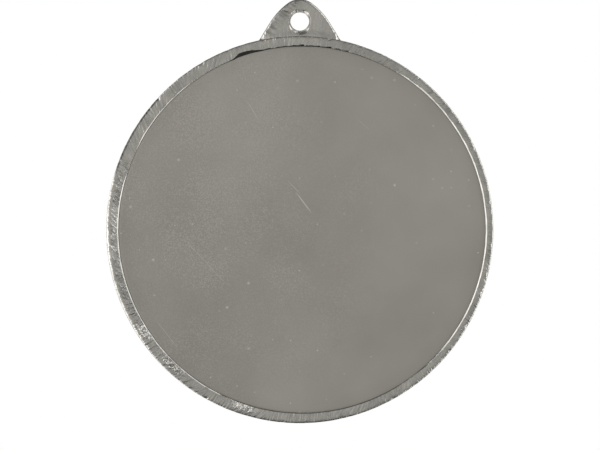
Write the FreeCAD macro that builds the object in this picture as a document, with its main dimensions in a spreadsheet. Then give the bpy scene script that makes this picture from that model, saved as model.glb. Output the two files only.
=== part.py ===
"""Stock award medal: a die-cast zinc blank with a hanging lug, an engraving plate and an emblem.

The medal hangs from its lug, which is up (+Z). Its reverse, with the engraving plate, faces -Y, and
its front, with the laurel wreath and the emblem, faces +Y. The document's origin is the middle of the
lug's bore. Each body is drawn about the centre of the disc and then placed below the bore.
"""

import FreeCAD
import Part
import math
import os
import Sketcher

Vector = FreeCAD.Vector
START = 1
END = 2
CENTRE = 3
ORIGIN = -1
HORIZONTAL_AXIS = -1
VERTICAL_AXIS = -2

# Driving dimensions, in millimetres and degrees. The sheet below holds them, and everything is bound to it.
DIMENSIONS = {
    # the casting's disc and its two crests
    "medal_radius": 35.0,
    "rim_thickness": 3.0,
    "rim_round": 0.2,
    # the lug that carries the ribbon's ring
    "bore_height": 37.7,
    "lug_thickness": 2.4,
    "lug_tip_height": 38.1,
    "lug_tip_radius": 3.6,
    "lug_shoulder_radius": 12.5,
    "lug_flank_angle": 58.3,
    "lug_foot_half_width": 8.16,
    "lug_foot_height": 33.0,
    "lug_round": 0.45,
    "bore_radius": 1.7,
    "bore_mouth_radius": 2.35,
    "bore_mouth_depth": 0.4,
    # the reverse recess, a little out of register with the disc, and its engraving plate
    "recess_shift": 0.4,
    "recess_mouth_radius": 33.55,
    "recess_radius": 33.25,
    "recess_depth": 1.1,
    "plate_radius": 33.2,
    "plate_thickness": 0.5,
    "plate_edge_break": 0.06,
    "tape_thickness": 0.12,
    "plate_tape_radius": 32.5,
    # the front: wreath field, bezel and emblem seat
    "front_mouth_radius": 33.0,
    "front_field_radius": 32.5,
    "front_field_depth": 0.75,
    "bezel_outer_radius": 14.6,
    "bezel_crest_outer_radius": 14.2,
    "bezel_crest_inner_radius": 13.1,
    "bezel_drop": 0.15,
    "emblem_radius": 12.5,
    "emblem_clearance": 0.1,
    "emblem_thickness": 0.5,
    "emblem_seat_depth": 1.0,
    "emblem_tape_radius": 12.0,
    "emblem_border_width": 0.7,
    "emblem_border_height": 0.15,
    "star_radius": 8.6,
    "star_waist_radius": 3.6,
    "star_height": 0.34,
    "star_top_share": 0.04,
    # the laurel wreath: two branches of leaf pairs on one round stem, tied at the bottom
    "stem_radius": 23.4,
    "stem_width": 0.9,
    "stem_height": 0.3,
    "stem_spread": 300.0,
    "leaf_length": 8.4,
    "leaf_half_width": 1.4,
    "leaf_height": 0.5,
    "outer_leaf_tilt": -32.0,
    "inner_leaf_tilt": 40.0,
    "branch_start": -76.0,
    "branch_spread": 134.0,
    "tip_leaf_angle": 60.0,
    "tie_length": 7.0,
    "tie_width": 2.6,
    "tie_height": 0.55,
    # how far a raised detail reaches into the metal below it, and a cut past its surface
    "sink": 0.1,
}
LEAVES_PER_ROW = 10
STAR_POINTS = 5
# An extent or a distance below this, in mm, counts as none when edges are picked out.
TOLERANCE = 1e-6


def new_sheet(document):
    """The spreadsheet of driving dimensions: names in column A, values and aliases in column B."""
    sheet = document.addObject("Spreadsheet::Sheet", "Dims")
    for row, (name, number) in enumerate(DIMENSIONS.items(), start=1):
        sheet.set(f"A{row}", name)
        sheet.set(f"B{row}", str(number))
        sheet.setAlias(f"B{row}", name)
    document.recompute()
    return sheet


def amount(owner, expression):
    """The number that a sheet expression gives now, to draw a sketch close to its solved shape."""
    found = owner.evalExpression(expression)
    return float(getattr(found, "Value", found))


def new_body(document, label):
    """An empty body whose origin is the centre of the disc, placed under the lug's bore."""
    body = document.addObject("PartDesign::Body", label)
    body.Label = label
    body.setExpression(".Placement.Base.z", "-Dims.bore_height")
    return body


def new_sketch(body, name, plane, place=None):
    """A sketch on one of the body's own origin planes, shifted by place: offset path to expression."""
    sketch = body.newObject("Sketcher::SketchObject", name)
    sketch.AttachmentSupport = [(origin_feature(body, plane), "")]
    sketch.MapMode = "FlatFace"
    for path, expression in (place or {}).items():
        sketch.setExpression(f"AttachmentOffset.{path}", expression)
    return sketch


def origin_feature(body, role):
    """The body's own origin plane or axis with that role."""
    return next(item for item in body.Origin.OriginFeatures if item.Role == role)


def drive(sketch, kind, references, expression):
    """Adds a dimension to a sketch and binds it to a sheet expression."""
    number = amount(sketch, expression)
    if kind == "Angle":
        number = math.radians(number)
    index = sketch.addConstraint(Sketcher.Constraint(kind, *references, number))
    sketch.setExpression(f"Constraints[{index}]", expression)


def pin_point(sketch, line, x, y):
    """Fixes the start point of a line at the place that two sheet expressions give; "0" lies on an axis."""
    for kind, axis, expression in (("DistanceX", VERTICAL_AXIS, x), ("DistanceY", HORIZONTAL_AXIS, y)):
        if expression == "0":
            sketch.addConstraint(Sketcher.Constraint("PointOnObject", line, START, axis))
        else:
            drive(sketch, kind, (ORIGIN, START, line, START), expression)


def add_polygon(sketch, corners):
    """Adds a closed straight-sided loop whose corners are pairs of sheet expressions."""
    first = sketch.GeometryCount
    count = len(corners)
    places = [Vector(amount(sketch, x), amount(sketch, y), 0) for x, y in corners]
    for index, place in enumerate(places):
        sketch.addGeometry(Part.LineSegment(place, places[(index + 1) % count]))
    for index, (x, y) in enumerate(corners):
        after = first + (index + 1) % count
        sketch.addConstraint(Sketcher.Constraint("Coincident", first + index, END, after, START))
        pin_point(sketch, first + index, x, y)


def add_circle(sketch, radius):
    """Adds a circle about the sketch's own origin, with its radius bound to a sheet expression."""
    circle = sketch.addGeometry(Part.Circle(Vector(), Vector(0, 0, 1), amount(sketch, radius)))
    sketch.addConstraint(Sketcher.Constraint("Coincident", circle, CENTRE, ORIGIN, START))
    drive(sketch, "Radius", (circle,), radius)


def turned(body, kind, sketch, name):
    """A full Revolution or Groove of a profile about its sketch's vertical axis, which runs along Y."""
    feature = body.newObject(f"PartDesign::{kind}", name)
    feature.Profile = sketch
    feature.ReferenceAxis = (sketch, ["V_Axis"])
    feature.Angle = 360.0
    return feature


def padded(body, sketch, name, height, towards_front=True):
    """A Pad of a face sketch. The XZ plane's normal is -Y, so a pad towards the front is reversed."""
    pad = body.newObject("PartDesign::Pad", name)
    pad.Profile = sketch
    pad.setExpression("Length", height)
    pad.Reversed = towards_front
    return pad


def draw_disc_profile(body):
    """Half section of the disc: two flat crests joined to the rim wall by rounds."""
    sketch = new_sketch(body, "disc_profile", "XY_Plane")
    half = amount(sketch, "Dims.rim_thickness / 2")
    radius = amount(sketch, "Dims.medal_radius")
    rounding = amount(sketch, "Dims.rim_round")
    crest = radius - rounding
    wall = half - rounding
    axis = Vector(0, 0, 1)
    sketch.addGeometry(Part.LineSegment(Vector(0, -half, 0), Vector(crest, -half, 0)))
    lower = Part.Circle(Vector(crest, -wall, 0), axis, rounding)
    sketch.addGeometry(Part.ArcOfCircle(lower, -math.pi / 2, 0))
    sketch.addGeometry(Part.LineSegment(Vector(radius, -wall, 0), Vector(radius, wall, 0)))
    upper = Part.Circle(Vector(crest, wall, 0), axis, rounding)
    sketch.addGeometry(Part.ArcOfCircle(upper, 0, math.pi / 2))
    sketch.addGeometry(Part.LineSegment(Vector(crest, half, 0), Vector(0, half, 0)))
    sketch.addGeometry(Part.LineSegment(Vector(0, half, 0), Vector(0, -half, 0)))
    reverse_crest, reverse_round, rim_wall, front_round, front_crest, axis_line = range(6)
    for before, end, after in ((reverse_crest, END, reverse_round), (reverse_round, END, rim_wall),
                               (rim_wall, END, front_round), (front_round, END, front_crest)):
        sketch.addConstraint(Sketcher.Constraint("Tangent", before, end, after, START))
    sketch.addConstraint(Sketcher.Constraint("Coincident", front_crest, END, axis_line, START))
    sketch.addConstraint(Sketcher.Constraint("Coincident", axis_line, END, reverse_crest, START))
    sketch.addConstraint(Sketcher.Constraint("PointOnObject", axis_line, START, VERTICAL_AXIS))
    sketch.addConstraint(Sketcher.Constraint("PointOnObject", axis_line, END, VERTICAL_AXIS))
    sketch.addConstraint(Sketcher.Constraint("Horizontal", reverse_crest))
    sketch.addConstraint(Sketcher.Constraint("Vertical", rim_wall))
    sketch.addConstraint(Sketcher.Constraint("Horizontal", front_crest))
    sketch.addConstraint(Sketcher.Constraint("Equal", reverse_round, front_round))
    drive(sketch, "Radius", (reverse_round,), "Dims.rim_round")
    drive(sketch, "DistanceX", (ORIGIN, START, rim_wall, START), "Dims.medal_radius")
    drive(sketch, "DistanceY", (ORIGIN, START, axis_line, START), "Dims.rim_thickness / 2")
    drive(sketch, "DistanceY", (ORIGIN, START, axis_line, END), "-Dims.rim_thickness / 2")
    return sketch


def draw_lug_outline(body):
    """The lug: a tip round the bore, a wide shoulder each side, and straight flanks down into the rim."""
    sketch = new_sketch(body, "lug_outline", "XZ_Plane")
    height = amount(sketch, "Dims.lug_tip_height")
    tip_radius = amount(sketch, "Dims.lug_tip_radius")
    shoulder_radius = amount(sketch, "Dims.lug_shoulder_radius")
    foot = amount(sketch, "Dims.lug_foot_half_width")
    foot_height = amount(sketch, "Dims.lug_foot_height")
    slope = math.radians(amount(sketch, "Dims.lug_flank_angle"))
    flank_normal = math.pi / 2 - slope
    across = foot * math.cos(flank_normal) + (foot_height - height) * math.sin(flank_normal)
    bridge = shoulder_radius - tip_radius
    opening = math.acos((shoulder_radius - across) / bridge)
    joint = flank_normal + opening
    axis = Vector(0, 0, 1)
    for side in (1, -1):
        centre = Vector(-side * bridge * math.cos(joint), height - bridge * math.sin(joint), 0)
        outward = Vector(side * math.cos(flank_normal), math.sin(flank_normal), 0)
        flank_top = centre + outward * shoulder_radius
        flank = Part.LineSegment(Vector(side * foot, foot_height, 0), flank_top)
        limits = (flank_normal, joint) if side > 0 else (math.pi - joint, math.pi - flank_normal)
        sketch.addGeometry(flank)
        sketch.addGeometry(Part.ArcOfCircle(Part.Circle(centre, axis, shoulder_radius), *limits))
    tip = Part.Circle(Vector(0, height, 0), axis, tip_radius)
    sketch.addGeometry(Part.ArcOfCircle(tip, joint, math.pi - joint))
    sketch.addGeometry(Part.LineSegment(Vector(-foot, foot_height, 0), Vector(foot, foot_height, 0)))
    right_flank, right_shoulder, left_flank, left_shoulder, tip_arc, foot_line = range(6)
    for before, end, after, start in ((right_flank, END, right_shoulder, START),
                                      (right_shoulder, END, tip_arc, START),
                                      (tip_arc, END, left_shoulder, START),
                                      (left_flank, END, left_shoulder, END)):
        sketch.addConstraint(Sketcher.Constraint("Tangent", before, end, after, start))
    sketch.addConstraint(Sketcher.Constraint("Coincident", foot_line, END, right_flank, START))
    sketch.addConstraint(Sketcher.Constraint("Coincident", foot_line, START, left_flank, START))
    sketch.addConstraint(
        Sketcher.Constraint("Symmetric", foot_line, START, foot_line, END, VERTICAL_AXIS)
    )
    sketch.addConstraint(Sketcher.Constraint("PointOnObject", tip_arc, CENTRE, VERTICAL_AXIS))
    sketch.addConstraint(
        Sketcher.Constraint("Symmetric", right_flank, END, left_flank, END, VERTICAL_AXIS)
    )
    drive(sketch, "DistanceY", (ORIGIN, START, tip_arc, CENTRE), "Dims.lug_tip_height")
    drive(sketch, "Radius", (tip_arc,), "Dims.lug_tip_radius")
    drive(sketch, "Radius", (right_shoulder,), "Dims.lug_shoulder_radius")
    drive(sketch, "DistanceX", (ORIGIN, START, foot_line, END), "Dims.lug_foot_half_width")
    drive(sketch, "DistanceY", (ORIGIN, START, foot_line, END), "Dims.lug_foot_height")
    drive(sketch, "Angle", (right_flank,), "180 - Dims.lug_flank_angle")
    return sketch


def add_lug(body):
    """The lug's plate, with every edge of its outline rounded over."""
    pad = body.newObject("PartDesign::Pad", "lug")
    pad.Profile = draw_lug_outline(body)
    pad.Midplane = True
    pad.setExpression("Length", "Dims.lug_thickness")
    body.Document.recompute()
    foot_height = amount(body, "Dims.lug_foot_height")
    rounded = [
        f"Edge{number}"
        for number, edge in enumerate(pad.Shape.Edges, start=1)
        if edge.BoundBox.YLength < TOLERANCE < edge.BoundBox.ZLength and edge.BoundBox.ZMax > foot_height
    ]
    fillet = body.newObject("PartDesign::Fillet", "lug_edge_round")
    fillet.Base = (pad, rounded)
    fillet.setExpression("Radius", "Dims.lug_round")


def add_bore(body):
    """The lug's bore, opened out at both mouths, cut as one groove about the bore's own axis."""
    sketch = new_sketch(body, "bore_profile", "XY_Plane", {"Base.z": "Dims.bore_height"})
    face = "Dims.lug_thickness / 2"
    wall_end = f"({face} - Dims.bore_mouth_depth)"
    clear = f"({face} + Dims.sink)"
    mouth = "Dims.bore_mouth_radius"
    wall = "Dims.bore_radius"
    add_polygon(sketch, [
        ("0", f"-{clear}"), (mouth, f"-{clear}"), (mouth, f"-{face}"), (wall, f"-{wall_end}"),
        (wall, wall_end), (mouth, face), (mouth, clear), ("0", clear),
    ])
    turned(body, "Groove", sketch, "lug_bore")


def cut_reverse_recess(body):
    """The reverse recess: a sloped wall down to the plate's face, then a straight seat to the floor."""
    sketch = new_sketch(body, "reverse_recess_profile", "XY_Plane", {"Base.x": "Dims.recess_shift"})
    crest = "(Dims.rim_thickness / 2)"
    floor = f"({crest} - Dims.recess_depth)"
    plate_face = f"({floor} + Dims.tape_thickness + Dims.plate_thickness)"
    add_polygon(sketch, [
        ("0", f"-({crest} + Dims.sink)"), ("Dims.recess_mouth_radius", f"-({crest} + Dims.sink)"),
        ("Dims.recess_mouth_radius", f"-{crest}"), ("Dims.recess_radius", f"-{plate_face}"),
        ("Dims.recess_radius", f"-{floor}"), ("0", f"-{floor}"),
    ])
    turned(body, "Groove", sketch, "reverse_recess")


def cut_front_recess(body):
    """The front's wreath field, a ring between rim and bezel, and the emblem seat inside the bezel."""
    sketch = new_sketch(body, "front_recess_profile", "XY_Plane")
    crest = "(Dims.rim_thickness / 2)"
    clear = f"({crest} + Dims.sink)"
    field = f"({crest} - Dims.front_field_depth)"
    bezel = f"({crest} - Dims.bezel_drop)"
    seat = f"({crest} - Dims.emblem_seat_depth)"
    seat_radius = "(Dims.emblem_radius + Dims.emblem_clearance)"
    add_polygon(sketch, [
        ("0", clear), ("0", seat), (seat_radius, seat), ("Dims.bezel_crest_inner_radius", bezel),
        ("Dims.bezel_crest_outer_radius", bezel), ("Dims.bezel_outer_radius", field),
        ("Dims.front_field_radius", field), ("Dims.front_mouth_radius", crest),
        ("Dims.front_mouth_radius", clear),
    ])
    turned(body, "Groove", sketch, "front_recess")


def draw_leaf(body, name, side, angle, tilt):
    """An almond-shaped leaf rooted on the stem at angle, pointing up the branch and turned by tilt."""
    sketch = new_sketch(body, name, "XZ_Plane", {
        "Base.x": f"{side} * Dims.stem_radius * cos({angle})",
        "Base.y": f"Dims.stem_radius * sin({angle})",
        "Base.z": "-(Dims.rim_thickness / 2 - Dims.front_field_depth - Dims.sink)",
        "Rotation.Angle": f"90 + {side} * ({angle} + {tilt})",
    })
    length = amount(sketch, "Dims.leaf_length")
    half_width = amount(sketch, "Dims.leaf_half_width")
    radius = (length ** 2 / 4 + half_width ** 2) / (2 * half_width)
    reach = math.asin(length / 2 / radius)
    axis = Vector(0, 0, 1)
    lower = Part.Circle(Vector(length / 2, radius - half_width, 0), axis, radius)
    upper = Part.Circle(Vector(length / 2, half_width - radius, 0), axis, radius)
    sketch.addGeometry(Part.ArcOfCircle(lower, -math.pi / 2 - reach, -math.pi / 2 + reach))
    sketch.addGeometry(Part.ArcOfCircle(upper, math.pi / 2 - reach, math.pi / 2 + reach))
    lower_edge, upper_edge = range(2)
    sketch.addConstraint(Sketcher.Constraint("Coincident", lower_edge, START, ORIGIN, START))
    sketch.addConstraint(Sketcher.Constraint("Coincident", lower_edge, START, upper_edge, END))
    sketch.addConstraint(Sketcher.Constraint("Coincident", lower_edge, END, upper_edge, START))
    sketch.addConstraint(Sketcher.Constraint("PointOnObject", lower_edge, END, HORIZONTAL_AXIS))
    sketch.addConstraint(Sketcher.Constraint("Equal", lower_edge, upper_edge))
    drive(sketch, "DistanceX", (ORIGIN, START, lower_edge, END), "Dims.leaf_length")
    drive(sketch, "Radius", (lower_edge,),
          "(Dims.leaf_length ^ 2 / 4 + Dims.leaf_half_width ^ 2) / (2 * Dims.leaf_half_width)")
    return sketch


def add_leaf(body, name, side, angle, tilt):
    """One raised leaf, a flat pad of its outline."""
    outline = draw_leaf(body, name + "_outline", side, angle, tilt)
    leaf = padded(body, outline, name, "Dims.leaf_height + Dims.sink")
    body.Document.recompute()
    return leaf


def add_branch(body, side, side_name):
    """One laurel branch: a row of leaves each side of the stem, patterned up it, and one at its tip."""
    for row_name in ("outer", "inner"):
        name = f"{side_name}_{row_name}_leaf"
        leaf = add_leaf(body, name, side, "Dims.branch_start", f"Dims.{row_name}_leaf_tilt")
        row = body.newObject("PartDesign::PolarPattern", name + "_row")
        row.Originals = [leaf]
        row.Axis = (origin_feature(body, "Y_Axis"), [""])
        row.Reversed = side > 0
        row.setExpression("Angle", "Dims.branch_spread")
        row.Occurrences = LEAVES_PER_ROW
        body.Tip = row
        body.Document.recompute()
    add_leaf(body, f"{side_name}_tip_leaf", side, "Dims.tip_leaf_angle", "0")


def add_stem(body):
    """The stem of both branches: one flat bar that runs round under the emblem, open at the top."""
    field = "(Dims.rim_thickness / 2 - Dims.front_field_depth)"
    low = f"{field} - Dims.sink"
    high = f"{field} + Dims.stem_height"
    near = "-(Dims.stem_radius - Dims.stem_width / 2)"
    far = "-(Dims.stem_radius + Dims.stem_width / 2)"
    sketch = new_sketch(body, "stem_section", "YZ_Plane")
    add_polygon(sketch, [(low, far), (high, far), (high, near), (low, near)])
    stem = body.newObject("PartDesign::Revolution", "stem")
    stem.Profile = sketch
    stem.ReferenceAxis = (sketch, ["H_Axis"])
    stem.Midplane = True
    stem.setExpression("Angle", "Dims.stem_spread")
    body.Document.recompute()


def add_tie(body):
    """The flat band that ties the two branches together at the bottom."""
    sketch = new_sketch(body, "tie_outline", "XZ_Plane", {
        "Base.y": "-Dims.stem_radius",
        "Base.z": "-(Dims.rim_thickness / 2 - Dims.front_field_depth - Dims.sink)",
    })
    half_length = "Dims.tie_length / 2"
    half_width = "Dims.tie_width / 2"
    add_polygon(sketch, [
        (f"-{half_length}", f"-{half_width}"), (half_length, f"-{half_width}"),
        (half_length, half_width), (f"-{half_length}", half_width),
    ])
    padded(body, sketch, "branch_tie", "Dims.tie_height + Dims.sink")


def make_casting(document):
    """The die-cast blank: lug, disc, bore, both recesses and the laurel relief, all one casting."""
    body = new_body(document, "medal_casting")
    add_lug(body)
    turned(body, "Revolution", draw_disc_profile(body), "disc")
    add_bore(body)
    cut_reverse_recess(body)
    cut_front_recess(body)
    document.recompute()
    add_stem(body)
    add_branch(body, 1, "right")
    add_branch(body, -1, "left")
    add_tie(body)
    return body


def make_round_blank(document, label, radius, thickness, front_face):
    """A flat disc whose front face lies at front_face, measured along Y from the middle of the rim."""
    body = new_body(document, label)
    sketch = new_sketch(body, "outline", "XZ_Plane", {"Base.z": f"-({front_face})"})
    add_circle(sketch, radius)
    padded(body, sketch, "blank", thickness, towards_front=False)
    return body


def make_engraving_plate(document):
    """The smooth reverse plate, with a fine broken edge, centred in the shifted recess."""
    front_face = "-(Dims.rim_thickness / 2 - Dims.recess_depth) - Dims.tape_thickness"
    body = make_round_blank(document, "engraving_plate", "Dims.plate_radius",
                            "Dims.plate_thickness", front_face)
    body.setExpression(".Placement.Base.x", "Dims.recess_shift")
    document.recompute()
    blank = body.Tip
    outer_face = amount(body, front_face) - amount(body, "Dims.plate_thickness")
    edge = next(
        f"Edge{number}"
        for number, edge in enumerate(blank.Shape.Edges, start=1)
        if edge.BoundBox.YLength < TOLERANCE and abs(edge.BoundBox.YMin - outer_face) < TOLERANCE
    )
    chamfer = body.newObject("PartDesign::Chamfer", "edge_break")
    chamfer.Base = (blank, [edge])
    chamfer.setExpression("Size", "Dims.plate_edge_break")
    return body


def make_plate_tape(document):
    """The adhesive disc between the recess floor and the engraving plate."""
    body = make_round_blank(document, "engraving_plate_tape", "Dims.plate_tape_radius",
                            "Dims.tape_thickness", "-(Dims.rim_thickness / 2 - Dims.recess_depth)")
    body.setExpression(".Placement.Base.x", "Dims.recess_shift")
    return body


def make_emblem_tape(document):
    """The adhesive disc between the seat floor and the emblem."""
    seat = "Dims.rim_thickness / 2 - Dims.emblem_seat_depth"
    return make_round_blank(document, "emblem_tape", "Dims.emblem_tape_radius",
                            "Dims.tape_thickness", f"{seat} + Dims.tape_thickness")


def draw_star(body, name, depth, share):
    """A five-pointed star, upright, with its size cut to share of the emblem's star."""
    sketch = new_sketch(body, name, "XZ_Plane", {"Base.z": f"-({depth})"})
    corners = []
    for index in range(2 * STAR_POINTS):
        reach = "Dims.star_radius" if index % 2 == 0 else "Dims.star_waist_radius"
        angle = 90 + index * 180 / STAR_POINTS
        across = "0" if angle in (90, 270) else f"{reach} * {share} * cos({angle})"
        corners.append((across, f"{reach} * {share} * sin({angle})"))
    add_polygon(sketch, corners)
    return sketch


def make_emblem(document):
    """The stamped emblem: a disc with a raised border and a faceted star."""
    back = "Dims.rim_thickness / 2 - Dims.emblem_seat_depth + Dims.tape_thickness"
    face = f"{back} + Dims.emblem_thickness"
    body = make_round_blank(document, "emblem_disc", "Dims.emblem_radius", "Dims.emblem_thickness", face)
    border = new_sketch(body, "border_outline", "XZ_Plane", {"Base.z": f"-({face})"})
    add_circle(border, "Dims.emblem_radius")
    add_circle(border, "Dims.emblem_radius - Dims.emblem_border_width")
    padded(body, border, "border", "Dims.emblem_border_height")
    foot = draw_star(body, "star_foot", face, "1")
    top = draw_star(body, "star_top", f"{face} + Dims.star_height", "Dims.star_top_share")
    star = body.newObject("PartDesign::AdditiveLoft", "star")
    star.Profile = foot
    star.Sections = [top]
    star.Ruled = True
    return body


def refuse_faults(document, bodies):
    """Stops the build if any object failed or any sub-part's shape is missing or not valid."""
    failed = [item.Name for item in document.Objects if {"Invalid", "Error"} & set(item.State)]
    if failed:
        raise RuntimeError(f"these objects did not build: {failed}")
    for body in bodies:
        if body.Shape.isNull() or not body.Shape.isValid() or len(body.Shape.Solids) != 1:
            raise RuntimeError(f"{body.Label} is not one valid solid")


def main():
    document = FreeCAD.newDocument("medal")
    new_sheet(document)
    bodies = [
        make_casting(document),
        make_engraving_plate(document),
        make_plate_tape(document),
        make_emblem(document),
        make_emblem_tape(document),
    ]
    document.recompute()
    refuse_faults(document, bodies)
    os.makedirs("parts", exist_ok=True)
    for body in bodies:
        body.Shape.exportStep(f"parts/{body.Label}.step")
        box = body.Shape.optimalBoundingBox(False)
        size = f"{box.XLength:.2f} x {box.YLength:.2f} x {box.ZLength:.2f} mm"
        print(f"{body.Label}: {size}, {body.Shape.Volume:.1f} mm3")


main()
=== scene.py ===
import math

import bmesh
import bpy
from mathutils import Matrix, Vector, noise


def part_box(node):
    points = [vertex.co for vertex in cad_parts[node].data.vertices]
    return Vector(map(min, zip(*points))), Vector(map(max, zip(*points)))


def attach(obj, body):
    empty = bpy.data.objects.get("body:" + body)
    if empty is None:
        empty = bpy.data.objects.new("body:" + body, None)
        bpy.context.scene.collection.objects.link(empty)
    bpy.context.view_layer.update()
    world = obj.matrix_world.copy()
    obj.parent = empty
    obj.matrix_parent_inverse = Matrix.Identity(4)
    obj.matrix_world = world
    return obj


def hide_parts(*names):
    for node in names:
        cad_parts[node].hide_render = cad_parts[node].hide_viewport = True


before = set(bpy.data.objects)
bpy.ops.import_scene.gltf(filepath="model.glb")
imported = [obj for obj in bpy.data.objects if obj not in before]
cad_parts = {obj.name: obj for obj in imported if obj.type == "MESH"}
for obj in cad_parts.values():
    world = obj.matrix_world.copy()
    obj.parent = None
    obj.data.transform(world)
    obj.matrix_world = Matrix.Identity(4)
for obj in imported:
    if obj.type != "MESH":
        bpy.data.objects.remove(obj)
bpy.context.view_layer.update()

# The award medal hangs from its lug: +Z is up, the reverse with the engraving plate faces -Y, and the
# front with the wreath and the emblem faces +Y. The origin is the middle of the lug's bore. Sizes are in
# millimetres unless a comment says metres, and so is mesh work; finish_piece turns a mesh to metres.

MM = 0.001
WORK_BODY = "root"

# Places read from the frame, in millimetres.
CASTING_LOW, CASTING_HIGH = (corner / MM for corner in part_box("medal_casting"))
PLATE_LOW, PLATE_HIGH = (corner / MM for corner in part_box("engraving_plate"))
EMBLEM_LOW, EMBLEM_HIGH = (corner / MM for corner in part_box("emblem_disc"))
DISC_RADIUS = (CASTING_HIGH.x - CASTING_LOW.x) / 2
DISC_CENTRE = Vector((0, 0, CASTING_LOW.z + DISC_RADIUS))
HALF_THICKNESS = CASTING_HIGH.y
RECESS_SHIFT = (PLATE_LOW.x + PLATE_HIGH.x) / 2
PLATE_RADIUS = (PLATE_HIGH.x - PLATE_LOW.x) / 2
PLATE_FACE = PLATE_LOW.y
PLATE_BACK = PLATE_HIGH.y
EMBLEM_RADIUS = (EMBLEM_HIGH.x - EMBLEM_LOW.x) / 2
EMBLEM_BACK = EMBLEM_LOW.y

# The casting's rim and reverse recess.
RIM_ROUND = 0.2
TAPE_THICKNESS = 0.12
PLATE_CLEARANCE = 0.005
RECESS_RADIUS = PLATE_RADIUS + PLATE_CLEARANCE
RECESS_FLOOR = PLATE_BACK + TAPE_THICKNESS
WALL_WIDTH = 0.3
WALL_FOOT = 0.01  # how far the wall leans out below its slope
WALL_SLOPE = 0.85  # depth for each millimetre of width

# The front's field, bezel and emblem seat.
FRONT_MOUTH_RADIUS = 33.0
FRONT_FIELD_RADIUS = 32.5
FRONT_FIELD = HALF_THICKNESS - 0.75
BEZEL_OUTER_RADIUS = 14.6
BEZEL_CREST = HALF_THICKNESS - 0.15
BEZEL_CREST_OUTER_RADIUS = 14.2
BEZEL_CREST_INNER_RADIUS = 13.1
EMBLEM_SEAT = EMBLEM_BACK - TAPE_THICKNESS
EMBLEM_SEAT_RADIUS = EMBLEM_RADIUS + 0.1
EMBLEM_FACE = EMBLEM_BACK + 0.5
EMBLEM_BORDER = 0.7
EMBLEM_RAYS = 60
RAY_DEPTH = 0.09

# The lug and its bore. Heights are above the disc's centre.
LUG_THICKNESS = 2.4
LUG_TIP_HEIGHT = 38.1
LUG_TIP_RADIUS = 3.6
LUG_SHOULDER_RADIUS = 12.5
LUG_FLANK_SLOPE = math.radians(58.3)
LUG_FOOT_HALF_WIDTH = 8.16
LUG_FOOT_HEIGHT = 33.0
LUG_ROUND = 0.45
LUG_CORNER = Vector((7.15, 0, -3.0))  # from the bore, at the right
LUG_CORNER_REACH = 0.68
BORE_RADIUS = 1.7
MOUTH_ZONE = 2.75  # radius round the bore that is divided finely
MOUTH_RINGS = 16

# The wreath, its tie and the star. Angles are in degrees.
STEM_RADIUS = 23.4
STEM_HALF_WIDTH = 0.45
STEM_END = 60
ROOT_OFFSET = 0.12  # from the stem's middle line
LEAF_LENGTH = 8.4
LEAF_HALF_WIDTH = 1.45
LEAF_HEIGHT = 0.6
LEAF_BEND = 0.5
LEAVES_PER_ROW = 10
BRANCH_START = -76
BRANCH_SPREAD = 134
LEAF_TILTS = (-32, 40)
SINK = 0.1  # how deep raised work goes into what it stands on
TIE_LENGTH = 7.0
TIE_HALF_WIDTH = 1.3
TIE_HEIGHT = 0.55
TIE_TURNS = 6
STAR_POINTS = 5
STAR_TIP_RADIUS = 8.6
STAR_NOTCH_RADIUS = 3.6
STAR_HEIGHT = 0.34
STAR_STEP = 0.06

# Where wear and painted light lie on the reverse, in degrees as polar gives them: the sprung gap, where the
# wall is painted as shadow; a line of painted shade on the outer edge; the filed stretch; and the chips. The
# chips, and more faintly the filed stretch, also get painted glints. A chip is its middle and its reach.
SPRUNG_GAP = (101.2, 112.4)
PAINTED_SHADE_EDGE = (137, 163)
FILED_LEFT = (160, 210)
CHIPS = ((213, 3.4), (227, 4.6), (252.5, 4.2))

# Lighter and darker places painted on the plate as reflection, where the field's reflection brightens and
# darkens: across and up from the disc's centre, reach, and how much lighter in the middle.
PLATE_PAINTED_REFLECTION = (
    (24, 12, 30, 0.34), (-14, 21, 20, 0.34), (-20, -19, 18, -0.3), (0, -29, 16, 0.2), (0, 3, 14, -0.12),
)
# Scratches on the plate: across and up from the disc's centre, angle, length and half width.
PLATE_SCRATCHES = (
    (0.7, 4.9, -53, 5.0, 0.16), (-1.0, 7.6, -47, 3.5, 0.06), (-17.2, -5.7, -47, 12.0, 0.05),
    (-8.5, 21.5, -58, 5.0, 0.045), (-24.0, -19.0, -52, 7.0, 0.05), (11.5, 19.0, -40, 3.0, 0.04),
)

SPIN_STEPS = 1080
AXIS = Vector((0, 1, 0))
UPRIGHT = Matrix.Rotation(math.pi / 2, 4, "X")
CLOSE = 0.001  # places nearer than this are the same

# The room, in metres, and its greys from left to right, as the reverse sees them and as the front does.
GREYS_BEFORE_REVERSE = ((0.1, 0.7), (0.42, 0.43), (0.58, 0.42), (0.7, 0.3), (0.84, 0.3), (0.95, 0.7))
GREYS_BEFORE_FRONT = (
    (0.05, 0.35), (0.3, 0.8), (0.47, 0.47), (0.53, 0.42), (0.66, 0.24), (0.84, 0.5), (0.93, 0.18),
)
CEILING_GREY = (0.13, 0.13, 0.13)
FLOOR_GREY = (0.03, 0.03, 0.03)
SOFTBOX_WATTS = 7.5
FLOOR_LEVEL = -1.2
FLOOR_SIZE = 12
CAMERA_DISTANCE = 0.6
VIEW_WIDTH = 0.1087
CAMERA_SHIFT = Vector((0.00004, 0, 0.00083))


# ---- mesh helpers ----

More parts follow.
